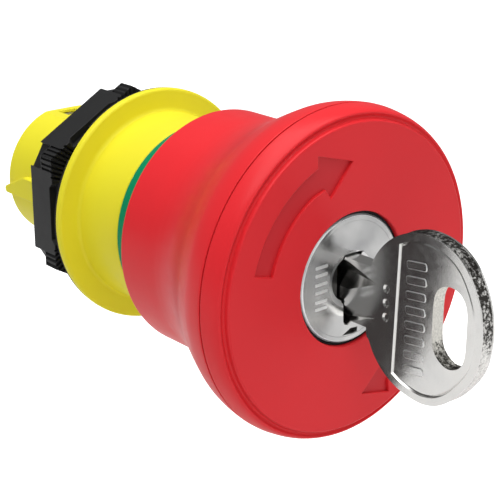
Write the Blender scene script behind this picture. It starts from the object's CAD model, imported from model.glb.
# A panel-mounted push button: a red mushroom head with a lock and key, in a yellow housing.
import math

import bmesh
import bpy
from mathutils import Matrix, Vector, noise


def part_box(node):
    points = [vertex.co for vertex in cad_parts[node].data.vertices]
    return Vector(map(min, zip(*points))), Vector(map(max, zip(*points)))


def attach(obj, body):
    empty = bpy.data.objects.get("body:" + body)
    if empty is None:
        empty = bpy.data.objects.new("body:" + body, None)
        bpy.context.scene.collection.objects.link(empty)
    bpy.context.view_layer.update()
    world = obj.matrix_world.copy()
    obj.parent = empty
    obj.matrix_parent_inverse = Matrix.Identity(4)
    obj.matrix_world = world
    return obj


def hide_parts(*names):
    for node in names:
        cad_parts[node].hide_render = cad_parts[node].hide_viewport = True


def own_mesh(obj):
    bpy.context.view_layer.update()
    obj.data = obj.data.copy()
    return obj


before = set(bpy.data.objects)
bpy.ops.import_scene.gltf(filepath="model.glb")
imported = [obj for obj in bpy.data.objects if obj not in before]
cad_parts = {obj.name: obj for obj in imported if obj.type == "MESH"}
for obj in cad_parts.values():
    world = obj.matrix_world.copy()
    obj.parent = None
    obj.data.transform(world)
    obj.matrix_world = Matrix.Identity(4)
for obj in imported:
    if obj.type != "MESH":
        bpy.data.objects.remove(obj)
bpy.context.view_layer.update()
SEG = 216        # segments round a turned part

# ------------------------------------------------------------------ working frame
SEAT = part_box("panel_gasket")[1].y      # row-frame y of the panel's front surface
TO_ROW = Matrix(((0.001, 0, 0, 0), (0, 0, -0.001, SEAT), (0, 0.001, 0, 0), (0, 0, 0, 1)))


def depth_of(node):
    """Rear and front of a CAD piece along the push axis, in mm."""
    low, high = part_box(node)
    return (SEAT - high.y) * 1000, (SEAT - low.y) * 1000


def drawn(point):
    """A row-frame point back in drawing millimetres."""
    return Vector((point.x * 1000, point.z * 1000, (SEAT - point.y) * 1000))


# ------------------------------------------------------------------ shared dimensions, mm
SKIRT_REAR = depth_of("mushroom_skirt")[0]
CAP_FACE = depth_of("mushroom_cap")[1]
HOUSING_REAR = depth_of("housing")[0]
NUT_REAR, NUT_FRONT = depth_of("fixing_nut")
HEAD_RADIUS = 20.05
SCREW_CIRCLE = 11.7                     # radius on which the three plunger screws sit
SCREW_ANGLES = (30, 150, 270)
PIN_Z = 10.9                            # depth of the two latch pins
LOCK_FACE = 39.22                       # front of the lock stator
PLUG_FACE = LOCK_FACE - 0.02
WAFERS_Z = (28.6, 30.6, 32.6, 34.6, 36.4)    # rear face of each wafer

# ------------------------------------------------------------------ outlines


def polar(radius, degrees):
    return (radius * math.cos(math.radians(degrees)), radius * math.sin(math.radians(degrees)))


def arc(radius, start, end, steps):
    return [polar(radius, start + (end - start) * i / steps) for i in range(steps + 1)]


def rounded(x0, x1, y0, y1, radius, steps=6):
    """A rectangle with rounded corners."""
    out = []
    for x, y, start in ((x1 - radius, y1 - radius, 0), (x0 + radius, y1 - radius, 90),
                        (x0 + radius, y0 + radius, 180), (x1 - radius, y0 + radius, 270)):
        for k in range(steps + 1):
            angle = math.radians(start + 90 * k / steps)
            out.append((x + radius * math.cos(angle), y + radius * math.sin(angle)))
    return out


def fillet(points, closed, steps):
    """Turns each corner (a, b, radius) that has a radius into an arc of (a, b) points."""
    out = []
    count = len(points)
    for i, point in enumerate(points):
        radius = point[2] if len(point) > 2 else 0
        if not radius or (not closed and i in (0, count - 1)):
            out.append((point[0], point[1]))
            continue
        corner = Vector(point[:2])
        back = Vector(points[i - 1][:2]) - corner
        ahead = Vector(points[(i + 1) % count][:2]) - corner
        longest = min(back.length * 0.49, ahead.length * 0.49)
        back.normalize()
        ahead.normalize()
        angle = math.acos(max(-1, min(1, back.dot(ahead))))
        if angle > math.pi - 0.02 or angle < 0.02:
            out.append((corner.x, corner.y))
            continue
        reach = min(radius / math.tan(angle / 2), longest)
        radius = reach * math.tan(angle / 2)
        center = corner + (back + ahead).normalized() * (radius / math.sin(angle / 2))
        first = corner + back * reach
        last = corner + ahead * reach
        start = math.atan2(first.y - center.y, first.x - center.x)
        end = math.atan2(last.y - center.y, last.x - center.x)
        sweep = (end - start + math.pi) % (2 * math.pi) - math.pi
        for k in range(steps + 1):
            turned = start + sweep * k / steps
            out.append((center.x + radius * math.cos(turned),
                        center.y + radius * math.sin(turned)))
    return out


def spline(points, steps, closed=True):
    """A Catmull-Rom curve through the points, each span in so many steps."""
    count = len(points)
    out = []
    for i in range(count if closed else count - 1):
        near = range(i - 1, i + 3)
        near = [k % count if closed else min(max(k, 0), count - 1) for k in near]
        p0, p1, p2, p3 = (Vector(points[k]) for k in near)
        for k in range(steps):
            t = k / steps
            out.append(tuple(0.5 * ((2 * p1) + (p2 - p0) * t
                                    + (2 * p0 - 5 * p1 + 4 * p2 - p3) * t * t
                                    + (3 * p1 - p0 - 3 * p2 + p3) * t ** 3)))
    if not closed:
        out.append(tuple(points[-1]))
    return out


def grow(outline, distance):
    """Moves every side of a closed outline out by a distance; corners are mitred."""
    count = len(outline)
    area = sum(outline[i][0] * outline[(i + 1) % count][1]
               - outline[(i + 1) % count][0] * outline[i][1] for i in range(count))
    sign = 1 if area > 0 else -1
    out = []
    for i in range(count):
        before, here, after = (Vector(outline[k]) for k in (i - 1, i, (i + 1) % count))
        side_in = (here - before).normalized()
        side_out = (after - here).normalized()
        miter = (Vector((side_in.y, -side_in.x)) * sign
                 + Vector((side_out.y, -side_out.x)) * sign)
        miter = miter / max(0.35, miter.length_squared / 2)
        out.append((here.x + miter.x * distance, here.y + miter.y * distance))
    return out


# ------------------------------------------------------------------ solids


def link(item):
    bpy.context.scene.collection.objects.link(item)
    return item


def from_bmesh(mesh, name="part"):
    data = bpy.data.meshes.new(name)
    mesh.to_mesh(data)
    mesh.free()
    return link(bpy.data.objects.new(name, data))


def solid(mesh):
    bmesh.ops.recalc_face_normals(mesh, faces=mesh.faces)
    return from_bmesh(mesh)


def remove(part):
    data = part.data
    bpy.data.objects.remove(part)
    bpy.data.meshes.remove(data)


def lathe(points, segments=SEG, steps=5):
    """Turns rows of (radius, z) or (radius, z, corner radius) about the z axis.

    An outline with both ends on the axis makes a solid; any other closes on itself.
    """
    on_axis = abs(points[0][0]) < 1e-9 and abs(points[-1][0]) < 1e-9
    outline = []
    for point in fillet(points, closed=not on_axis, steps=steps):
        if not outline or math.dist(point, outline[-1]) > 1e-5:
            outline.append(point)
    if not on_axis and math.dist(outline[0], outline[-1]) < 1e-5:
        outline.pop()
    mesh = bmesh.new()
    rings = []
    for radius, z in outline:
        if radius < 1e-7:
            rings.append([mesh.verts.new((0, 0, z))])
            continue
        angles = [2 * math.pi * k / segments for k in range(segments)]
        rings.append([mesh.verts.new((radius * math.cos(a), radius * math.sin(a), z))
                      for a in angles])
    count = len(outline)
    for i in range(count - 1 if on_axis else count):
        this, other = rings[i], rings[(i + 1) % count]
        for k in range(segments):
            quad = (this[k % len(this)], this[(k + 1) % len(this)],
                    other[(k + 1) % len(other)], other[k % len(other)])
            mesh.faces.new(tuple(dict.fromkeys(quad)))      # a triangle at the axis
    return solid(mesh)


def rod(radius, low, high, segments=32):
    return lathe([(0, low), (radius, low), (radius, high), (0, high)], segments)


def loft(rings, along="z"):
    """A closed solid through (outline, level) rings of equal count.

    Outlines are (x, y) with levels along z, or (y, z) with levels along x.
    """
    mesh = bmesh.new()
    rows = [[mesh.verts.new((a, b, level) if along == "z" else (level, a, b))
             for a, b in outline] for outline, level in rings]
    mesh.faces.new(rows[0])
    mesh.faces.new(rows[-1])
    count = len(rows[0])
    for low, high in zip(rows, rows[1:]):
        for i in range(count):
            j = (i + 1) % count
            mesh.faces.new((low[i], low[j], high[j], high[i]))
    return solid(mesh)


def prism(outline, low, high, along="z"):
    return loft([(outline, low), (outline, high)], along)


def box(x0, x1, y0, y1, z0, z1):
    return prism([(x0, y0), (x1, y0), (x1, y1), (x0, y1)], z0, z1)


def poly(points, faces):
    mesh = bmesh.new()
    verts = [mesh.verts.new(point) for point in points]
    for face in faces:
        mesh.faces.new([verts[i] for i in face])
    return solid(mesh)


def coil(mean, wire, rear, front, turns, per_turn=36, sides=14):
    """A compression spring along z, of mean radius and wire radius, with closed, capped ends."""
    mesh = bmesh.new()
    count = int(turns * per_turn)
    rear += wire
    front -= wire
    closed = 0.9                        # turns closed up at each end
    lead = 2 * wire * 1.06              # pitch of a closed turn
    low = rear + lead * closed * 0.5
    high = front - lead * closed * 0.5

    def height(turn):
        if turn < closed:
            return rear + lead * turn * 0.5
        if turn > turns - closed:
            return front - lead * (turns - turn) * 0.5
        return low + (high - low) * ((turn - closed) / (turns - 2 * closed))

    path = []
    for i in range(count + 1):
        angle = 2 * math.pi * turns * i / count
        path.append(Vector((mean * math.cos(angle), mean * math.sin(angle),
                            height(i / count * turns))))
    rings = []
    for i, point in enumerate(path):
        tangent = (path[min(i + 1, count)] - path[max(i - 1, 0)]).normalized()
        radial = Vector((point.x, point.y, 0)).normalized()
        normal = tangent.cross(radial).normalized()
        radial = normal.cross(tangent).normalized()
        angles = [2 * math.pi * k / sides for k in range(sides)]
        rings.append([mesh.verts.new(point + wire * (math.cos(a) * radial
                                                     + math.sin(a) * normal))
                      for a in angles])
    for ring, after in zip(rings, rings[1:]):
        for k in range(sides):
            j = (k + 1) % sides
            mesh.faces.new((ring[k], ring[j], after[j], after[k]))
    mesh.faces.new(rings[0])
    mesh.faces.new(rings[-1])
    return solid(mesh)


# ------------------------------------------------------------------ changes to a solid


def turn(part, degrees):
    part.data.transform(Matrix.Rotation(math.radians(degrees), 4, "Z"))
    return part


def move(part, x, y, z):
    part.data.transform(Matrix.Translation((x, y, z)))
    return part


def point_up(part):
    """Lays a part drawn along z upwards along y, at the depth of the latch pins."""
    part.data.transform(Matrix.Rotation(math.radians(-90), 4, "X"))
    return move(part, 0, 0, PIN_Z)


def on_screw_circle(part, degrees):
    return turn(move(part, SCREW_CIRCLE, 0, 0), degrees)


def boolean(target, tool, operation):
    """Applies the operation to the target and uses up the tool."""
    modifier = target.modifiers.new("b", "BOOLEAN")
    modifier.operation = operation
    modifier.object = tool
    modifier.solver = "EXACT"
    graph = bpy.context.evaluated_depsgraph_get()
    data = bpy.data.meshes.new_from_object(target.evaluated_get(graph))
    target.modifiers.remove(modifier)
    old = target.data
    target.data = data
    bpy.data.meshes.remove(old)
    remove(tool)


def cut(target, tool):
    boolean(target, tool, "DIFFERENCE")


def fuse(target, tool):
    boolean(target, tool, "UNION")


def join(parts):
    mesh = bmesh.new()
    for part in parts:
        mesh.from_mesh(part.data)
        remove(part)
    return from_bmesh(mesh)


def bevel(part, width, segments, select, angle=30):
    """Rounds the edges that bend at least angle and whose two ends select(point) takes."""
    mesh = bmesh.new()
    mesh.from_mesh(part.data)
    bmesh.ops.remove_doubles(mesh, verts=mesh.verts, dist=1e-4)
    bmesh.ops.dissolve_degenerate(mesh, dist=1e-4, edges=mesh.edges)
    picked = [edge for edge in mesh.edges if len(edge.link_faces) == 2
              and math.degrees(edge.calc_face_angle(0)) >= angle
              and all(select(vert.co) for vert in edge.verts)]
    bmesh.ops.bevel(mesh, geom=picked, offset=width, offset_type="OFFSET", segments=segments,
                    profile=0.5, affect="EDGES", clamp_overlap=True, miter_outer="ARC")
    mesh.to_mesh(part.data)
    mesh.free()


def finish(part, node, made, body, slot, materials=None, weighted=True, flat_axis=None):
    """Cleans, shades and names a part, and puts it in the place of a CAD node.

    Faces square to flat_axis are shaded flat.
    """
    data = part.data
    mesh = bmesh.new()
    mesh.from_mesh(data)
    bmesh.ops.remove_doubles(mesh, verts=mesh.verts, dist=2e-5)
    loose = [vert for vert in mesh.verts if not vert.link_faces]
    if loose:
        bmesh.ops.delete(mesh, geom=loose, context="VERTS")
    for face in mesh.faces:
        face.smooth = flat_axis is None or abs(face.normal[flat_axis]) <= 0.99999
    for edge in mesh.edges:
        sharp = len(edge.link_faces) == 2 and math.degrees(edge.calc_face_angle(0)) > 32
        edge.smooth = not sharp
    mesh.to_mesh(data)
    mesh.free()
    data.transform(TO_ROW)
    data.update()
    data.materials.clear()
    for material in materials or [LOOKS[slot]]:
        data.materials.append(material)
    part.name = data.name = f"{node}_{made}"
    if weighted:
        modifier = part.modifiers.new("weighted_normals", "WEIGHTED_NORMAL")
        modifier.keep_sharp = True
        modifier.weight = 50
    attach(part, body)
    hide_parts(node)
    return part


def paint(part, choose):
    """Sets the material slot that choose(place in drawing mm, row-frame normal) returns."""
    for face in part.data.polygons:
        index = choose(drawn(face.center), face.normal)
        if index:
            face.material_index = index


# ------------------------------------------------------------------ shader building


class Nodes:
    def __init__(self, name):
        self.material = bpy.data.materials.new(name)
        self.material.use_nodes = True
        self.tree = self.material.node_tree
        self.tree.nodes.clear()
        self.output = self.new("ShaderNodeOutputMaterial")
        self.shader = self.new("ShaderNodeBsdfPrincipled")
        self.link(self.shader.outputs[0], self.output.inputs[0])
        self.place = self.new("ShaderNodeTexCoord").outputs["Object"]

    def link(self, source, socket):
        self.tree.links.new(source, socket)

    def new(self, kind, **settings):
        node = self.tree.nodes.new(kind)
        for name, value in settings.items():
            setattr(node, name, value)
        return node

    def feed(self, socket, value):
        """Sets a socket to a number or a colour, or links an output to it."""
        if isinstance(value, (tuple, list)):
            socket.default_value = (*value[:3], 1)
        elif isinstance(value, (int, float)):
            socket.default_value = value
        else:
            self.link(value, socket)

    def set(self, name, value):
        self.feed(self.shader.inputs[name], value)

    def noise(self, per_mm, detail=3, rough=0.5, stretch=(1, 1, 1), distortion=0.0):
        """About per_mm features a millimetre; stretch scales x, y and z of the row frame."""
        mapping = self.new("ShaderNodeMapping")
        mapping.inputs["Scale"].default_value = [1000 * per_mm * scale for scale in stretch]
        self.link(self.place, mapping.inputs["Vector"])
        node = self.new("ShaderNodeTexNoise")
        node.inputs["Scale"].default_value = 1.0
        node.inputs["Detail"].default_value = detail
        node.inputs["Roughness"].default_value = rough
        node.inputs["Distortion"].default_value = distortion
        self.link(mapping.outputs[0], node.inputs["Vector"])
        return node.outputs["Fac"]

    def remap(self, value, span, to=(0, 1), smooth=False):
        """Maps a span of values to another and clamps the rest."""
        node = self.new("ShaderNodeMapRange")
        if smooth:
            node.interpolation_type = "SMOOTHSTEP"
        node.clamp = True
        node.inputs["From Min"].default_value = span[0]
        node.inputs["From Max"].default_value = span[1]
        node.inputs["To Min"].default_value = to[0]
        node.inputs["To Max"].default_value = to[1]
        self.link(value, node.inputs["Value"])
        return node.outputs[0]

    def combine(self, operation, *values):
        node = self.new("ShaderNodeMath", operation=operation)
        for socket, value in zip(node.inputs, values):
            self.feed(socket, value)
        return node.outputs[0]

    def mix(self, factor, color0, color1):
        node = self.new("ShaderNodeMix", data_type="RGBA")
        for i, value in ((0, factor), (6, color0), (7, color1)):
            self.feed(node.inputs[i], value)
        return node.outputs[2]

    def bump(self, height, depth_mm, normal=None):
        node = self.new("ShaderNodeBump")
        node.inputs["Strength"].default_value = 1.0
        node.inputs["Distance"].default_value = depth_mm * 0.001
        self.link(height, node.inputs["Height"])
        if normal is not None:
            self.link(normal, node.inputs["Normal"])
        return node.outputs[0]

    def dull(self, color):
        """Shiny surfaces nearby mirror this one as plain diffuse of this colour."""
        diffuse = self.new("ShaderNodeBsdfDiffuse")
        self.feed(diffuse.inputs["Color"], color)
        mixer = self.new("ShaderNodeMixShader")
        self.link(self.new("ShaderNodeLightPath").outputs["Is Glossy Ray"], mixer.inputs[0])
        self.link(self.shader.outputs[0], mixer.inputs[1])
        self.link(diffuse.outputs[0], mixer.inputs[2])
        self.link(mixer.outputs[0], self.output.inputs[0])


def gloss(rough, spread):
    """A range of roughness round a value that stays wholly above or wholly below 0.274."""
    low, high = rough - spread, rough + spread
    if rough >= 0.274:
        return max(low, 0.284), max(high, 0.30)
    return max(low, 0.04), min(high, 0.264)


def plastic(name, color, rough, grain_mm=0.0006, grain=9.0, vary=0.035, spec=0.5,
            mirrored=None):
    """Moulded plastic: slight flow mottling, a little rubbed gloss and a fine grain."""
    nodes = Nodes(name)
    cloud = nodes.noise(per_mm=0.11, detail=4, rough=0.55)
    dark = tuple(c * (1 - vary) for c in color)
    light = tuple(min(1, c * (1 + vary)) for c in color)
    nodes.set("Base Color", nodes.mix(nodes.remap(cloud, span=(0.3, 0.7)), dark, light))
    rub = nodes.noise(per_mm=0.45, detail=5, rough=0.6)
    nodes.set("Roughness", nodes.remap(rub, span=(0.3, 0.7), to=gloss(rough, spread=0.035)))
    nodes.set("Specular IOR Level", spec)
    nodes.set("Normal", nodes.bump(nodes.noise(per_mm=grain, detail=2), grain_mm))
    if mirrored:
        nodes.dull(mirrored)
    return nodes.material


def metal(name, color, rough, dark=None, blotch=0.0, cloud=0.2, grain_mm=0.002, grain=10.0,
          stretch=(1, 1, 1), wave_mm=0.0, wave=0.0, mirrored=None):
    """Metal with optional dark blotches and a slow wave in its surface."""
    nodes = Nodes(name)
    nodes.set("Metallic", 1.0)
    if dark:
        patches = nodes.remap(nodes.noise(per_mm=cloud, distortion=0.3),
                              span=(0.5 - blotch, 0.5 + blotch), smooth=True)
        color = nodes.mix(patches, dark, color)
    nodes.set("Base Color", color)
    rub = nodes.noise(per_mm=0.8, detail=5, rough=0.65)
    nodes.set("Roughness", nodes.remap(rub, span=(0.3, 0.7), to=gloss(rough, spread=0.05)))
    normal = nodes.bump(nodes.noise(per_mm=grain, rough=0.6, stretch=stretch), grain_mm)
    if wave_mm:
        normal = nodes.bump(nodes.noise(per_mm=wave, detail=1, rough=0.3), wave_mm, normal)
    nodes.set("Normal", normal)
    if mirrored:
        nodes.dull(mirrored)
    return nodes.material


def sheared(name, dark, light, dark_at, light_at, specks, depth_mm=0.03):
    """Torn, speckled metal, from dark at one row-frame height to light at another (mm)."""
    nodes = Nodes(name)
    nodes.set("Metallic", 1.0)
    split = nodes.new("ShaderNodeSeparateXYZ")
    nodes.link(nodes.place, split.inputs[0])
    low, high = sorted((dark_at, light_at))
    upwards = 1.0 if light_at > dark_at else 0.0
    lightness = nodes.remap(split.outputs["Z"], span=(low * 0.001, high * 0.001),
                            to=(1.0 - upwards, upwards), smooth=True)
    fine_share, coarse_share, height_share = 0.6, 0.4, 0.20
    speckle = nodes.combine(
        "ADD",
        nodes.combine("MULTIPLY", nodes.noise(per_mm=specks, rough=0.6), fine_share),
        nodes.combine("MULTIPLY", nodes.noise(per_mm=specks * 0.35, rough=0.6), coarse_share))
    factor = nodes.remap(
        nodes.combine("ADD", speckle, nodes.combine("MULTIPLY", lightness, height_share)),
        span=(0.49, 0.585))
    pale = tuple(c * 0.62 for c in light)
    torn = nodes.remap(nodes.noise(per_mm=specks * 1.3, detail=4, rough=0.7), span=(0.38, 0.6))
    nodes.set("Base Color", nodes.mix(factor, dark, nodes.mix(torn, pale, light)))
    nodes.set("Roughness", 0.34)
    pits = nodes.noise(per_mm=specks * 0.8, detail=4, rough=0.65)
    nodes.set("Normal", nodes.bump(pits, depth_mm))
    return nodes.material


# ------------------------------------------------------------------ materials
RED_MIRRORED = (0.075, 0.066, 0.067)

RED = plastic("red_plastic_moulded", (0.82, 0.027, 0.035), rough=0.325, vary=0.012, spec=0.18,
              mirrored=RED_MIRRORED)
RED_FLOOR = plastic("red_plastic_arrow_floor", (0.66, 0.022, 0.030), rough=0.45, vary=0.02,
                    spec=0.25, mirrored=RED_MIRRORED)
YELLOW = plastic("yellow_plastic_moulded", (0.885, 0.80, 0.036), rough=0.40, vary=0.015,
                 spec=0.13)
GREEN = plastic("green_plastic_moulded", (0.0, 0.27, 0.115), rough=0.40, vary=0.03, spec=0.14)
BLACK = plastic("black_polyamide", (0.016, 0.016, 0.0165), rough=0.42, grain_mm=0.004,
                grain=7, vary=0.10, spec=0.22)
WHITE = plastic("white_acetal", (0.74, 0.72, 0.66), rough=0.42, grain_mm=0.003, vary=0.03)
RUBBER = plastic("black_rubber_moulded", (0.012, 0.012, 0.013), rough=0.72, grain_mm=0.010,
                 grain=5, vary=0.15, spec=0.3)
FACE = metal("nickel_face", (0.62, 0.62, 0.61), rough=0.22, dark=(0.36, 0.36, 0.365),
             blotch=0.20, grain_mm=0.0022, grain=5, wave_mm=0.03, wave=0.10, cloud=0.13,
             mirrored=(0.30, 0.30, 0.30))
RIM = metal("nickel_rim_polished", (0.97, 0.97, 0.98), rough=0.44, grain_mm=0.001,
            mirrored=(0.3, 0.3, 0.3))
FROSTED = metal("nickel_marks_frosted", (0.80, 0.80, 0.80), rough=0.45, grain_mm=0.01, grain=6)
KEY_FACE = metal("key_nickel_face", (0.76, 0.75, 0.725), rough=0.19, dark=(0.66, 0.66, 0.65),
                 blotch=0.25, grain_mm=0.0032, grain=5, wave_mm=0.02, wave=0.07, cloud=0.12)
KEY_EDGE = sheared("key_nickel_sheared_edge", dark=(0.045, 0.042, 0.038),
                   light=(0.86, 0.85, 0.82), dark_at=1.0, light_at=-6.5, specks=3.0)
KEY_HOLE = sheared("key_nickel_sheared_hole", dark=(0.08, 0.075, 0.065),
                   light=(0.80, 0.78, 0.72), dark_at=-5.2, light_at=-1.5, specks=4.2)
HOLLOW = metal("key_milled_hollow", (0.72, 0.71, 0.69), rough=0.24, dark=(0.20, 0.195, 0.185),
               blotch=0.12, grain_mm=0.004, grain=3, stretch=(1, 0.25, 1), cloud=0.35)
STEEL = metal("zinc_plated_steel", (0.52, 0.52, 0.53), rough=0.34)
SPRING = metal("spring_wire", (0.42, 0.42, 0.43), rough=0.22, grain_mm=0.0015)
BRASS = metal("machined_brass", (0.72, 0.50, 0.20), rough=0.21)
DARK = metal("lock_inside", (0.10, 0.098, 0.095), rough=0.45, grain_mm=0.004)

# the usual material of each slot
LOOKS = {"red_plastic": RED, "yellow_plastic": YELLOW, "green_plastic": GREEN,
         "black_plastic": BLACK, "white_plastic": WHITE, "black_rubber": RUBBER,
         "plain_steel": STEEL, "spring_steel": SPRING, "brass": BRASS}

# Outlines given to lathe() below are rows of (radius, z) or (radius, z, corner radius).

# ------------------------------------------------------------------ head: skirt
SKIRT_FLARE = [
    (15.30, 20.4), (15.30, 21.0), (15.32, 21.9), (15.38, 22.6), (15.48, 23.4), (15.68, 24.4),
    (15.95, 25.4), (16.3, 26.4), (16.72, 27.4), (17.2, 28.4), (17.72, 29.4), (18.24, 30.4),
    (18.71, 31.4), (19.16, 32.4), (19.55, 33.35), (19.82, 34.4), (19.98, 35.4), (20.045, 36.0)]

skirt = lathe(
    [(13.5, SKIRT_REAR, 0.25), (15.3, SKIRT_REAR, 0.35), (15.30, 17.0), (15.30, 19.0)]
    + spline(SKIRT_FLARE, steps=3, closed=False)
    + [(HEAD_RADIUS, 36.3, 0.07), (18.35, 36.3, 0.1), (18.35, 34.2, 0.3), (17.5, 33.2, 0.8),
       (15.8, 29.3, 0.6), (8.7, 29.3, 0.4), (8.7, 37.0, 0.2), (7.1, 37.0, 0.2),
       (7.1, 25.2, 0.15), (8.7, 25.2, 0.2), (8.7, 27.3, 0.3), (13.5, 27.3, 0.5)])
for angle in SCREW_ANGLES:
    boss = lathe([(0, 28.8), (1.9, 28.8), (1.9, 31.6, 0.2), (0, 31.6)], segments=32)
    fuse(skirt, on_screw_circle(boss, angle))
    cut(skirt, on_screw_circle(rod(1.12, 26.8, 31.0), angle))
finish(skirt, "mushroom_skirt", "moulding", "head_body", "red_plastic")

# ------------------------------------------------------------------ head: cap with sunk arrows
ARROW_FLOOR = CAP_FACE - 0.4
ARROW_ROUND = 0.12                      # rounding where an arrow's walls meet the face
ARROWS = (
    arc(15.3, 165.3, 111.8, 40) + [(-5.74, 15.65), (-0.43, 14.14), (-3.66, 10.4), (-4.54, 11.6)]
    + arc(12.65, 119, 165.3, 34),
    arc(16.0, -14.7, -66.4, 40) + [(6.6, -16.14), (2.01, -15.07), (5.5, -11.7), (6.12, -12.15)]
    + arc(13.6, -62.3, -14.7, 34))

cap = lathe([
    (8.1, 37.7, 0.15), (8.1, CAP_FACE, 0.12), (16.6, CAP_FACE), (18.54, CAP_FACE, 0.22),
    (18.62, 38.95, 0.10), (18.8, 38.78, 0.16), (19.05, 38.86, 0.16), (19.27, 39.06, 0.16),
    (19.46, 38.94), (19.60, 38.66), (19.72, 38.36), (19.81, 38.05), (19.885, 37.7),
    (19.95, 37.3), (20.0, 36.95), (20.035, 36.72), (HEAD_RADIUS, 36.5, 0.07),
    (18.0, 36.5, 0.15), (18.0, 34.7, 0.25), (17.3, 34.7, 0.25), (17.3, 37.7, 0.3)])
for outline in ARROWS:
    rings = [(outline, ARROW_FLOOR), (outline, CAP_FACE - ARROW_ROUND)]
    for angle in (math.radians(degrees) for degrees in (30, 60, 90)):
        rings.append((grow(outline, ARROW_ROUND * (1 - math.cos(angle))),
                      CAP_FACE - ARROW_ROUND + ARROW_ROUND * math.sin(angle)))
    rings.append((grow(outline, ARROW_ROUND), CAP_FACE + 1))
    cut(cap, loft(rings))
finish(cap, "mushroom_cap", "moulding", "head_body", "red_plastic", [RED, RED_FLOOR],
       flat_axis=2)
paint(cap, lambda spot, normal: int(abs(spot.z - ARROW_FLOOR) < 0.01
                                    and 9.5 < math.hypot(spot.x, spot.y) < 17.8))

# ------------------------------------------------------------------ status ring, guide sleeve
ring = lathe([(10.2, 2.6, 0.1), (11.05, 2.6, 0.15), (11.05, 10.95, 0.1), (12.8, 10.95, 0.12),
              (12.8, 17.2, 0.3), (10.2, 17.2, 0.2)])
finish(ring, "status_ring", "moulding", "housing_body", "green_plastic")

sleeve = lathe([(9.3, 2.65, 0.1), (10.05, 2.65, 0.15), (10.05, 17.2, 0.1), (9.45, 17.2),
                (9.3, 17.05), (9.3, 7.7, 0.05), (9.75, 7.7, 0.1), (9.75, 5.1, 0.1),
                (9.3, 5.1, 0.05)])
finish(sleeve, "guide_sleeve", "turned", "housing_body", "plain_steel")

# ------------------------------------------------------------------ housing
THREAD_REAR, THREAD_FRONT = -8.1, 1.5
THREAD_RADIUS = 10.8
THREAD_DEPTH = 0.78
THREAD_PITCH = 1.5
THREAD_STEPS = 84
TOP_FLAT = 8.95                         # height of the flat on top of the rear barrel

thread_length = THREAD_FRONT - 0.1 - THREAD_REAR - 0.5
thread_zone = [(THREAD_RADIUS, THREAD_REAR + 0.5 + thread_length * i / THREAD_STEPS)
               for i in range(THREAD_STEPS + 1)]
housing = lathe(
    [(8.3, HOUSING_REAR, 0.15), (9.45, HOUSING_REAR, 0.28), (9.45, -9.2),
     (9.45, THREAD_REAR, 0.25), (10.3, THREAD_REAR, 0.05)]
    + thread_zone
    + [(THREAD_RADIUS, THREAD_FRONT), (15.65, THREAD_FRONT, 0.12), (15.65, 2.5, 0.42),
       (12.7, 2.5, 0.55), (12.7, 6.0), (12.7, 10.8, 0.22), (11.2, 10.8, 0.15),
       (11.2, 2.3, 0.2), (8.3, 2.3, 0.25), (8.3, -18.6, 0.05), (8.6, -18.6, 0.05),
       (8.6, -19.3, 0.05), (8.3, -19.3, 0.05)])

# press the thread into the barrel, fading at both ends
for vert in housing.data.vertices:
    x, y, z = vert.co
    radius = math.hypot(x, y)
    if (THREAD_RADIUS - 0.05 < radius < THREAD_RADIUS + 0.05
            and THREAD_REAR + 0.4 < z < THREAD_FRONT - 0.05):
        phase = (z / THREAD_PITCH - math.atan2(y, x) / (2 * math.pi)) % 1.0
        flank = max(0.0, min(1.0, (1 - abs(2 * phase - 1) - 0.12) / 0.76))
        fade = min(1.0, (z - THREAD_REAR - 0.45) / 0.8, (1.3 - z) / 0.5)
        scale = (radius - THREAD_DEPTH * flank * max(0, fade)) / radius
        vert.co.x *= scale
        vert.co.y *= scale

# a lug on each side of the rear barrel, drawn as (y, z)
LUG = [(-1.45, HOUSING_REAR + 0.35), (-1.2, HOUSING_REAR + 0.12), (-0.75, HOUSING_REAR + 0.05),
       (-0.45, HOUSING_REAR + 0.3), (1.55, -15.45), (1.7, -15.0), (1.7, THREAD_REAR + 0.2),
       (-1.45, THREAD_REAR + 0.2)]
for angle in (0, 180):
    lug = prism(LUG, -10.2, -8.9, along="x")
    bevel(lug, 0.18, 3, lambda point: point.x < -10.1)
    fuse(housing, turn(lug, angle))
top_tab = box(-1.5, 1.5, 9.9, 11.9, -1.4, 1.8)
bevel(top_tab, 0.15, 2, lambda point: point.y > 11.8)
fuse(housing, top_tab)
cut(housing, box(-6, 6, TOP_FLAT, 12, HOUSING_REAR - 1, THREAD_REAR - 0.02))
cut(housing, box(-1.4, 1.4, 7.5, 10, -19.0, -16.5))
bevel(housing, 0.1, 2, lambda point: abs(point.y - TOP_FLAT) < 0.01
      and HOUSING_REAR + 0.4 < point.z < THREAD_REAR - 0.3, angle=20)
finish(housing, "housing", "moulding", "housing_body", "yellow_plastic")

# ------------------------------------------------------------------ gasket
gasket = lathe([(11.25, 0, 0.2), (14.4, 0, 0.2), (14.4, 1.12, 0.08), (15.6, 1.12, 0.1),
                (15.6, 1.45, 0.1), (11.25, 1.45, 0.2)])
cut(gasket, box(-1.85, 1.85, 10, 12.25, -1, 3))
LIP_GAP = ([polar(14.45, 129), polar(17, 129), polar(17.5, 138), polar(17, 147.5)]
           + arc(14.45, 147.5, 129, 6)[:-1])
for angle in (0, 180):
    cut(gasket, turn(prism(LIP_GAP, 1, 2), angle))
finish(gasket, "panel_gasket", "moulding", "housing_body", "black_rubber")

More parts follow.
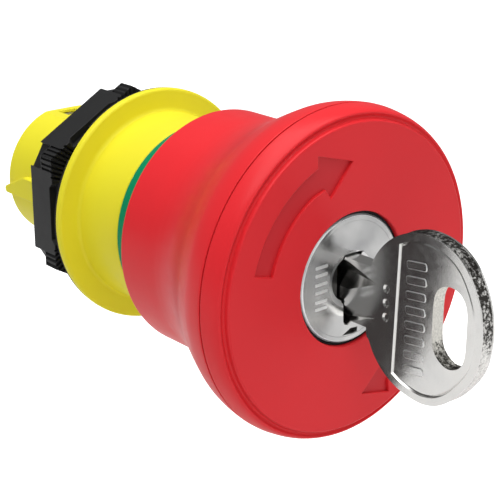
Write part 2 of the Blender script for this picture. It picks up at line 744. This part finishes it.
# ------------------------------------------------------------------ fixing nut
NUT_APOTHEM = 13.2                      # half the width across flats
NUT_STEP, NUT_MID = -5.4, -3.5          # front of the corner steps, rear of the side recesses
NUT_CORNERS = [30 + 60 * i for i in range(6)]
GROOVE_ANGLES = (-6.15, -3.9, -1.3, 1.3, 3.9, 6.15)                # degrees off a corner
TOOTH_ANGLES = (-9.1, -6.5, -3.9, -1.3, 1.3, 3.9, 6.5, 9.1)
TOOTH_HALF = 0.26                       # half width of a tooth gap
TOOTH_TOP, TOOTH_ROOT = NUT_FRONT + 0.06, NUT_FRONT - 0.34

nut = prism([polar(NUT_APOTHEM / math.cos(math.pi / 6), angle) for angle in NUT_CORNERS],
            NUT_REAR, NUT_FRONT)
cut(nut, lathe([(0, NUT_REAR - 2), (11.9, NUT_REAR - 2), (11.9, NUT_REAR),
                (11.05, NUT_REAR + 0.85), (11.05, NUT_FRONT - 0.85), (11.9, NUT_FRONT),
                (11.9, NUT_FRONT + 2), (0, NUT_FRONT + 2)]))
for angle in NUT_CORNERS:
    cut(nut, turn(box(13.85, 16, -1.62, 1.62, NUT_REAR - 1, NUT_STEP), angle))
    recess = [(-3.6, NUT_MID), (3.6, NUT_MID), (4.5, NUT_FRONT + 0.35),
              (-4.5, NUT_FRONT + 0.35)]
    cut(nut, turn(prism(recess, 12.2, 16, along="x"), angle - 30))
bevel(nut, 0.12, 2, lambda point: math.hypot(point.x, point.y) > 12.5, angle=28)

# V grooves along the corner blocks, which leave ribs between them
grooves = []
for corner in NUT_CORNERS:
    for offset in GROOVE_ANGLES:
        radius = NUT_APOTHEM / math.cos(math.radians(30 - abs(offset)))
        outline = [(radius + 0.35, -0.38), (radius + 0.35, 0.38), (radius - 0.3, 0.0)]
        groove = prism(outline, NUT_STEP + 0.25, NUT_FRONT + 0.4)
        grooves.append(turn(groove, corner + offset))
cut(nut, join(grooves))

# radial V gaps across the front faces of the corner blocks
gaps = []
for corner in NUT_CORNERS:
    for offset in TOOTH_ANGLES:
        gap = poly([(12.0, -TOOTH_HALF, TOOTH_TOP), (15.8, -TOOTH_HALF, TOOTH_TOP),
                    (15.8, TOOTH_HALF, TOOTH_TOP), (12.0, TOOTH_HALF, TOOTH_TOP),
                    (12.0, 0, TOOTH_ROOT), (15.8, 0, TOOTH_ROOT)],
                   [(0, 1, 2, 3), (0, 1, 5, 4), (2, 3, 4, 5), (1, 2, 5), (3, 0, 4)])
        gaps.append(turn(gap, corner + offset))
cut(nut, join(gaps))
finish(nut, "fixing_nut", "moulding", "housing_body", "black_plastic")

# ------------------------------------------------------------------ rear bush, retaining ring
bush = lathe([(5.8, -18.4, 0.15), (8.15, -18.4, 0.2), (8.15, -15.6, 0.15), (7.9, -15.6),
              (7.9, -16.2, 0.1), (6.2, -16.2, 0.1), (6.2, -15.6), (5.8, -15.6, 0.1)],
             segments=128)
finish(bush, "rear_bush", "moulding", "housing_body", "white_plastic")

CLIP_GAP = 1.6                          # half width of the retaining ring's gap
clip = lathe([(7.35, -19.2, 0.06), (8.5, -19.2, 0.06), (8.5, -18.7, 0.06), (7.35, -18.7, 0.06)],
             steps=2)
cut(clip, box(-CLIP_GAP, CLIP_GAP, -10, -6, -20, -18))
bevel(clip, 0.06, 2, lambda point: abs(abs(point.x) - CLIP_GAP) < 0.01, angle=50)
finish(clip, "retaining_ring", "stamped", "housing_body", "plain_steel")

# ------------------------------------------------------------------ return spring
RETURN_REAR = -15.95
RETURN_LENGTH = 22.85
spring = coil(mean=7.05, wire=0.4, rear=RETURN_REAR, front=RETURN_REAR + RETURN_LENGTH,
              turns=6.5)
finish(spring, "return_spring", "coil", "housing_body", "spring_steel", weighted=False)
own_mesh(spring)

# ------------------------------------------------------------------ plunger, pusher, seal
plunger = lathe([
    (0, 8.2), (3.4, 8.2, 0.4), (3.4, -17.2, 0.1), (5.5, -17.2, 0.25), (5.5, 7.2, 0.3),
    (9.0, 7.2, 0.35), (9.0, 15.3, 0.05), (8.25, 15.3, 0.1), (8.25, 16.5, 0.1),
    (9.0, 16.5, 0.05), (9.0, 21.9), (10.1, 22.4, 0.3), (10.1, 25.9, 0.3), (13.0, 25.9, 0.2),
    (13.0, 27.0, 0.2), (8.95, 27.0, 0.15), (8.95, 22.9, 0.3), (7.4, 22.3, 0.2),
    (7.4, 12.8, 0.4), (0, 12.8)], segments=128)
for angle in (0, 180):
    cut(plunger, turn(point_up(rod(1.25, 2.0, 9.6)), angle))
    cut(plunger, turn(box(-0.7, 0.7, 3.8, 6.4, PIN_Z, 13.3), angle))
for angle in SCREW_ANGLES:
    cut(plunger, on_screw_circle(rod(1.15, 25, 28), angle))
finish(plunger, "plunger", "moulding", "head_body", "white_plastic")

pusher = lathe([(0, -19.4), (3.6, -19.4), (5.3, -19.4, 0.4), (5.3, -17.5, 0.2),
                (3.15, -17.5, 0.1), (3.15, -13.0, 0.3), (0, -13.0)], segments=96)
finish(pusher, "pusher", "moulding", "head_body", "black_plastic")

SEAL_RADIUS, SEAL_Z, SEAL_WIRE, SEAL_SIDES = 8.75, 15.9, 0.43, 16
seal_angles = [2 * math.pi * i / SEAL_SIDES for i in range(SEAL_SIDES)]
seal = lathe([(SEAL_RADIUS + SEAL_WIRE * math.cos(a), SEAL_Z + SEAL_WIRE * math.sin(a))
              for a in seal_angles], segments=128)
finish(seal, "shaft_seal", "ring", "head_body", "black_rubber", weighted=False)

# ------------------------------------------------------------------ plunger screws, latch pins
for i, angle in enumerate(SCREW_ANGLES):
    screw = lathe([(0, 24.8), (0.9, 24.8), (1.3, 25.05, 0.2), (1.3, 25.75, 0.08),
                   (0.85, 25.75), (0.85, 30.0, 0.1), (0.35, 30.6, 0.1), (0, 30.6)],
                  segments=32)
    cut(screw, box(-0.18, 0.18, -0.9, 0.9, 24, 25.3))
    cut(screw, box(-0.9, 0.9, -0.18, 0.18, 24, 25.3))
    finish(on_screw_circle(screw, angle), f"plunger_screw_{i + 1}", "fine", "head_body",
           "plain_steel")

LATCH_INNER = 2.1                       # distance of a latch spring's inner end from the axis
LATCH_LENGTH = 2.8
for side, angle, sign in (("top", 0, 1), ("bottom", 180, -1)):
    pin = point_up(lathe([(0, 5.0), (1.1, 5.0, 0.12), (1.1, 9.15, 0.4), (0, 9.15)],
                         segments=40))
    peg = lathe([(0, PIN_Z), (0.5, PIN_Z), (0.5, 15.2, 0.1), (0, 15.2)], segments=24)
    fuse(pin, move(peg, 0, 5.7, 0))
    finish(turn(pin, angle), f"latch_pin_{side}", "turned", f"pin_{side}_body", "plain_steel")
    spring = point_up(coil(mean=0.72, wire=0.14, rear=LATCH_INNER,
                           front=LATCH_INNER + LATCH_LENGTH, turns=4.5, per_turn=24, sides=10))
    finish(turn(spring, angle), f"latch_spring_{side}", "coil", "head_body", "spring_steel",
           weighted=False)
    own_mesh(spring)

# ------------------------------------------------------------------ lock: stator, seal and nut
stator = lathe([(5.75, 22.2, 0.1), (6.95, 22.2, 0.25), (6.95, 37.35, 0.05), (7.74, 37.35, 0.1),
                (7.74, LOCK_FACE - 0.22, 0.06), (7.52, LOCK_FACE, 0.08),
                (6.985, LOCK_FACE, 0.02), (6.985, 38.0, 0.1), (5.75, 38.0, 0.1)])
for y0, y1 in ((4, 6.45), (-6.45, -4)):
    cut(stator, box(-1.8, 1.8, y0, y1, 27, 37.2))
finish(stator, "lock_stator", "plated", "head_body", "nickel", [FACE, RIM])
paint(stator, lambda spot, normal: int(math.hypot(spot.x, spot.y) > 7.5))

lock_seal = lathe([(7.05, 37.05, 0.08), (8.06, 37.05, 0.1), (8.06, 38.9, 0.08),
                   (7.8, 38.9, 0.08), (7.8, 37.3, 0.08), (7.05, 37.3, 0.08)], steps=3)
finish(lock_seal, "lock_seal", "ring", "head_body", "black_rubber")

LOCK_NUT_APOTHEM = 7.75
lock_nut = prism([polar(LOCK_NUT_APOTHEM / math.cos(math.pi / 6), 30 + 60 * i)
                  for i in range(6)], 23.4, 25.0)
corner_chamfer = lathe([(0, 23.4), (8.0, 23.4), (8.6, 23.8), (8.6, 24.6), (8.0, 25.0),
                        (0, 25.0)], segments=128)
boolean(lock_nut, corner_chamfer, "INTERSECT")
cut(lock_nut, rod(7.05, 22, 26, segments=128))
finish(lock_nut, "lock_nut", "machined", "head_body", "brass")

# ------------------------------------------------------------------ lock: plug
KEY_SLOT = [(-1.1, -2.9), (-1.02, -5.0), (-0.85, -5.35), (-0.35, -5.55), (1.3, -4.55),
            (1.3, 2.55), (1.6, 2.3), (1.75, 2.95), (1.1, 3.08), (-1.08, 3.08), (-1.15, 2.8)]
NOTCH = [(-1.2, -6.72), (0.1, -6.2), (1.25, -6.3), (1.2, -6.75), (0.5, -6.85)]
TICKS_Y = (2.55, 1.6, 0.5, -0.45, -1.6, -2.45)


def chamfered(outline, floor_z, chamfer, top):
    """A cutter from floor_z to top that chamfers its edge with the plug's face."""
    wide = grow(outline, chamfer)
    return loft([(outline, floor_z), (outline, PLUG_FACE - chamfer), (wide, PLUG_FACE),
                 (wide, top)])


plug = lathe([(0, 24.0), (5.6, 24.0, 0.3), (5.6, 38.2, 0.05), (6.975, 38.2, 0.1),
              (6.975, PLUG_FACE, 0.012), (3.45, PLUG_FACE, 0.12),
              (2.75, PLUG_FACE - 0.32, 0.06), (2.7, 38.15, 0.1), (0, 38.1)])
fuse(plug, box(-1.8, 1.8, -1.8, 1.8, 14.4, 24.2))
cut(plug, chamfered(KEY_SLOT, 37.9, chamfer=0.1, top=41))
cut(plug, box(-1.25, 1.25, -4.05, 2.45, 27.2, 39))
for z in WAFERS_Z:
    cut(plug, box(-2.6, 2.6, -7, 7, z - 0.1, z + 0.8))
cut(plug, rod(0.75, 13, 18))
cut(plug, chamfered(NOTCH, PLUG_FACE - 0.6, chamfer=0.08, top=PLUG_FACE + 1))
for y in TICKS_Y:                       # raised ticks left of the slot
    tick = rounded(-5.65, -3.75, y - 0.2, y + 0.2, 0.14)
    fuse(plug, loft([(tick, PLUG_FACE - 0.3), (tick, PLUG_FACE + 0.03),
                     (grow(tick, -0.05), PLUG_FACE + 0.06)]))
finish(plug, "lock_plug", "plated", "plug_body", "nickel", [FACE, DARK, FROSTED], flat_axis=2)


def plug_material(spot, normal):
    radius = math.hypot(spot.x, spot.y)
    dish = (PLUG_FACE - 0.33 < spot.z < PLUG_FACE - 0.03 and 2.5 < radius < 3.45
            and normal.y < -0.3)
    if spot.z > PLUG_FACE + 0.004 or dish:
        return 2
    return int(spot.z < PLUG_FACE - 0.36 and radius < 6.9)


paint(plug, plug_material)

# ------------------------------------------------------------------ lock: wafers and cam
for i, z in enumerate(WAFERS_Z):
    wafer = prism(rounded(-2.45, 2.45, -4.95, 4.95, 0.25), z, z + 0.7)
    cut(wafer, prism(rounded(-1.3, 1.3, -4.05, 2.45, 0.2), z - 1, z + 2))
    finish(wafer, f"wafer_{i + 1}", "stamped", "plug_body", "brass")

# each spiral slot draws in by 1.2 mm over 60 degrees
cam = lathe([(0, 14.5), (7.1, 14.5, 0.12), (7.1, 15.6, 0.12), (0, 15.6)], segments=144)
SLOT_HALF = 0.68
spiral = [(angle, 5.7 - 1.2 * angle / 60) for angle in (-7 + 74 * i / 40 for i in range(41))]
spiral_slot = ([polar(radius + SLOT_HALF, 90 + angle) for angle, radius in spiral]
               + [polar(radius - SLOT_HALF, 90 + angle) for angle, radius in reversed(spiral)])
for angle in (0, 180):
    cut(cam, turn(prism(spiral_slot, 14, 16), angle))
cut(cam, box(-1.9, 1.9, -1.9, 1.9, 14, 17))
finish(cam, "lock_cam", "plate", "plug_body", "plain_steel")

cam_screw = lathe([(0, 13.2), (2.5, 13.2, 0.2), (2.5, 14.15, 0.1), (0.65, 14.15),
                   (0.65, 17.4, 0.1), (0, 17.4)], segments=48)
cut(cam_screw, box(-2, 2, -0.25, 0.25, 13, 13.6))
finish(cam_screw, "cam_screw", "fine", "plug_body", "plain_steel")

# ------------------------------------------------------------------ key: outline
# The key stands in the yz plane, its thickness along x. Its outlines are (y, z).
HALF = 1.0                              # half thickness
BOW_TOP = 59.67
BOW_STEPS = 6
BOW = [
    (2.9, 43.35), (3.6, 43.5), (4.65, 44.1), (5.7, 44.9), (6.75, 46.0), (7.65, 47.35),
    (8.3, 48.9), (8.67, 50.7), (8.6, 52.6), (8.2, 54.3), (7.55, 55.7), (6.5, 57.0),
    (5.2, 57.95), (3.7, 58.75), (2.2, 59.3), (0.5, 59.6), (-1.1, BOW_TOP), (-2.7, 59.5),
    (-4.4, 59.15), (-6.0, 58.4), (-7.6, 57.2), (-9.0, 55.9), (-10.05, 54.5), (-10.7, 53.0),
    (-10.95, 51.2), (-10.65, 49.0), (-9.95, 47.0), (-8.9, 45.4), (-7.5, 44.1), (-6.1, 43.3),
    (-4.6, 42.75)]
BOW_HOLE = [
    (3.72, 54.4), (3.3, 53.5), (2.5, 52.9), (1.3, 52.65), (-0.9, 52.6), (-3.0, 52.65),
    (-4.2, 52.95), (-5.1, 53.75), (-5.6, 54.9), (-5.35, 56.1), (-4.6, 56.95), (-3.4, 57.35),
    (-2.0, 57.42), (-0.2, 57.45), (1.4, 57.4), (2.5, 57.1), (3.35, 56.4), (3.75, 55.4)]
BLADE = [(2.9, 38.5), (2.9, 44.2), (-4.6, 44.2), (-4.6, 38.5)]
SHANK = [(2.25, 29.0), (2.25, 39.0), (-3.85, 39.0), (-3.85, 29.0), (-2.6, 27.7), (1.0, 27.7)]

bow = [(y, min(z, BOW_TOP)) for y, z in spline(BOW, BOW_STEPS)]
bow_hole = spline(BOW_HOLE, steps=4)
# the short side between the two shoulders stays straight
key = prism(bow[:(len(BOW) - 1) * BOW_STEPS + 1], -HALF, HALF, along="x")
fuse(key, prism(BLADE, -HALF, HALF, along="x"))
fuse(key, prism(SHANK, -HALF, HALF, along="x"))
cut(key, prism(bow_hole, -3, 3, along="x"))
bevel(key, 0.14, 3, lambda point: abs(abs(point.x) - HALF) < 0.01 and point.z > 39.2, angle=60)

# ------------------------------------------------------------------ key: panel and grooves
PANEL_DEPTH = 0.13


def chord(y):
    """z of the panel's straight side, near the blade."""
    return 47.27 + 0.036 * y


def on_chord(start, end):
    """Where the line between two points crosses the chord."""
    part = (chord(start[0]) - start[1]) / (end[1] - start[1])
    y = start[0] + part * (end[0] - start[0])
    return (y, chord(y))


def panel_outline():
    """The bow moved inwards and cut off at the chord."""
    rim = grow(bow, -0.95)
    inside = [z > chord(y) for y, z in rim]
    start = next(i for i in range(len(rim)) if inside[i] and not inside[i - 1])
    kept = [(start + i) % len(rim) for i in range(sum(inside))]
    first = on_chord(rim[kept[0] - 1], rim[kept[0]])
    last = on_chord(rim[(kept[-1] + 1) % len(rim)], rim[kept[-1]])
    middle = [rim[i] for i in kept
              if min(math.dist(rim[i], first), math.dist(rim[i], last)) > 1.1]
    return [first] + middle + [last]


def blade_groove(side, depth, y_high, y_low, y_floor, y_apex, z_full, z_apex):
    """A V groove along the blade whose floor runs out to a point at the bow."""
    x_face, x_floor = side * (HALF + 0.02), side * (HALF - depth)
    points = []
    for z in (26.0, z_full):
        points += [(x_face, y_high, z), (x_floor, y_floor, z), (x_face, y_low, z)]
    points.append((x_face, y_apex, z_apex))
    return poly(points, [(0, 1, 2), (0, 3, 4, 1), (1, 4, 5, 2), (2, 5, 3, 0), (3, 6, 4),
                         (4, 6, 5), (5, 6, 3)])


panel = panel_outline()
for side in (-1, 1):
    cut(key, blade_groove(side, depth=0.72, y_high=2.5, y_low=-0.85, y_floor=1.15,
                          y_apex=1.03, z_full=39.9, z_apex=44.4))
    cut(key, blade_groove(side, depth=0.60, y_high=-2.95, y_low=-4.9, y_floor=-4.3,
                          y_apex=-3.1, z_full=39.6, z_apex=44.3))
    # a shallow pocket with a fine groove round its floor
    cut(key, loft([(grow(panel, -0.26), side * (HALF - PANEL_DEPTH)),
                   (grow(panel, -0.10), side * (HALF - PANEL_DEPTH - 0.09)),
                   (panel, side * (HALF - 0.07)),
                   (grow(panel, 0.06), side * HALF),
                   (grow(panel, 0.06), side * (HALF + 0.4))], along="x"))

# one V bit in the upper edge for each wafer
SHANK_TOP = 2.25
for wafer_z, depth in zip(WAFERS_Z, (0.5, 0.8, 0.35, 0.7, 0.55)):
    z = wafer_z + 0.35
    cut(key, prism([(4, z - 0.9), (SHANK_TOP - depth, z - 0.25),
                    (SHANK_TOP - depth, z + 0.25), (4, z + 0.9)], -3, 3, along="x"))

# ------------------------------------------------------------------ key: grip bars, dimples
BAR_PITCH = 1.76
BAR_TILT = math.radians(-7.2)


def ellipse(y, z, half_y, half_z):
    angles = [math.radians(15 * k) for k in range(24)]
    return [(y + half_y * math.cos(a), z + half_z * math.sin(a)) for a in angles]


def bar_outline(y, z):
    return [(y + a * math.cos(BAR_TILT) - b * math.sin(BAR_TILT),
             z + a * math.sin(BAR_TILT) + b * math.cos(BAR_TILT))
            for a, b in rounded(-0.5, 0.5, -1.5, 1.5, 0.34, steps=5)]


bars = []
for side in (-1, 1):
    for i in range(8):
        bar = bar_outline(4.85 - i * BAR_PITCH, 50.1)
        bars.append(loft([(bar, side * (HALF - 0.45)), (bar, side * (HALF - 0.08)),
                          (grow(bar, -0.10), side * (HALF - 0.003))], along="x"))
    for y in (0.95, -0.75, -2.45):
        wide = ellipse(y, 45.75, 0.55, 0.5)
        cut(key, loft([(ellipse(y, 45.75, 0.30, 0.26), side * (HALF - 0.16)),
                       (wide, side * (HALF + 0.01)), (wide, side * (HALF + 0.4))], along="x"))

# ------------------------------------------------------------------ key: sheared edge
# the bow's narrow faces are split across the thickness and roughened slightly
BOW_START = 43.2
mesh = bmesh.new()
mesh.from_mesh(key.data)
bmesh.ops.remove_doubles(mesh, verts=mesh.verts, dist=1e-4)
across = []
for edge in mesh.edges:
    start, end = (vert.co for vert in edge.verts)
    if abs(start.x - end.x) > 1.2 and start.z > BOW_START and end.z > BOW_START:
        across.append(edge)
bmesh.ops.subdivide_edges(mesh, edges=across, cuts=8, use_grid_fill=True)
mesh.normal_update()
for vert in mesh.verts:
    if (abs(vert.co.x) < HALF - 0.16 and vert.co.z > BOW_START
            and all(abs(face.normal.x) < 0.5 for face in vert.link_faces)):
        x, y, z = vert.co
        rough = (noise.noise(Vector((x * 2.4, y * 2.4, z * 2.4))) * 0.04
                 + noise.noise(Vector((x * 6, y * 6, z * 6))) * 0.03)
        vert.co -= vert.normal * max(0.004, rough + 0.03)
for bar in bars:
    mesh.from_mesh(bar.data)
    remove(bar)
mesh.to_mesh(key.data)
mesh.free()
finish(key, "key", "stamped", "key_body", "key_nickel",
       [KEY_FACE, KEY_EDGE, KEY_HOLE, HOLLOW, FROSTED], flat_axis=0)


def key_material(spot, normal):
    x, y, z = spot
    slope = abs(normal.x)
    if slope < 0.62 and z > 43.0 and abs(x) < HALF - 0.155:             # narrow faces
        return 2 if min(math.hypot(y - a, z - b) for a, b in bow_hole) < 0.7 else 1
    if 30 < z < 44.5 and slope < 0.985 and abs(x) < HALF - 0.01 and -0.95 < y < 2.45:
        return 3                                                        # wide blade groove
    if 48.3 < z < 51.95 and -8.4 < y < 5.9 and 0.2 < slope < 0.98 and abs(x) > HALF - 0.08:
        return 4                                                        # bar edges
    return 0


paint(key, key_material)

# ------------------------------------------------------------------ floor
FLOOR_Z = -0.05                         # metres, as is all below
FLOOR_SEEN = 0.62                       # glow the camera sees
FLOOR_GLOW = 0.0                        # glow that lights the scene

mesh = bmesh.new()
bmesh.ops.create_grid(mesh, x_segments=2, y_segments=2, size=3.0)
floor = from_bmesh(mesh, "floor")
floor.location = (0, SEAT, FLOOR_Z)
nodes = Nodes("pale_floor")
pale = nodes.mix(nodes.remap(nodes.noise(per_mm=0.02), span=(0.3, 0.7)),
                 (0.90, 0.90, 0.90), (0.93, 0.93, 0.93))
# bounced light meets a darker floor
bounce = nodes.new("ShaderNodeLightPath").outputs["Is Diffuse Ray"]
nodes.set("Base Color", nodes.mix(bounce, pale, (0.77, 0.77, 0.77)))
nodes.set("Roughness", 0.9)
nodes.set("Specular IOR Level", 0.1)
nodes.set("Emission Color", (1, 1, 1))
seen = nodes.new("ShaderNodeLightPath").outputs["Is Camera Ray"]
nodes.set("Emission Strength",
          nodes.combine("ADD", nodes.combine("MULTIPLY", seen, FLOOR_SEEN), FLOOR_GLOW))
floor.data.materials.append(nodes.material)

# ------------------------------------------------------------------ lights and world
LIT_POINT = Vector((0, SEAT - 0.025, 0))
WORLD_STRENGTH = 0.21


def softbox(name, place, size, power):
    """A square area light aimed at the button."""
    light = bpy.data.lights.new(name, "AREA")
    light.shape = "RECTANGLE"
    light.size = size
    light.size_y = size
    light.energy = power
    lamp = link(bpy.data.objects.new(name, light))
    lamp.location = place
    lamp.rotation_euler = (LIT_POINT - Vector(place)).to_track_quat("-Z", "Y").to_euler()


softbox("top_softbox", place=(-0.05, SEAT - 0.05, 0.55), size=0.7, power=4.55)
softbox("right_softbox", place=(0.55, SEAT - 0.45, 0.10), size=0.5, power=0.55)
softbox("front_softbox", place=(-0.25, SEAT - 0.75, 0.30), size=0.5, power=0.60)

world = bpy.data.worlds.new("studio")
bpy.context.scene.world = world
world.use_nodes = True
tree = world.node_tree
tree.nodes.clear()
world_output = tree.nodes.new("ShaderNodeOutputWorld")
background = tree.nodes.new("ShaderNodeBackground")
background.inputs[0].default_value = (1, 1, 1, 1)
background.inputs[1].default_value = WORLD_STRENGTH
tree.links.new(background.outputs[0], world_output.inputs[0])

# ------------------------------------------------------------------ camera
# in front of the head, to its left and above, with its axes in the row frame
CAMERA_RIGHT = Vector((0.76163, -0.64802, 0.0))
CAMERA_UP = Vector((0.21756, 0.25571, 0.94196))
CAMERA_BACK = Vector((-0.61040, -0.71742, 0.33574))

lens = bpy.data.cameras.new("camera")
lens.sensor_width = 36
lens.lens = 100.8
lens.clip_start = 0.01
lens.clip_end = 10
camera = link(bpy.data.objects.new("camera", lens))
pose = Matrix((CAMERA_RIGHT, CAMERA_UP, CAMERA_BACK)).transposed().to_4x4()
pose.translation = Vector((-0.106206, SEAT - 0.146088, 0.057067))
camera.matrix_world = pose
bpy.context.scene.camera = camera

view = bpy.context.scene.view_settings
view.view_transform = "Standard"
view.look = "None"

# ------------------------------------------------------------------ hand over
bpy.context.view_layer.update()
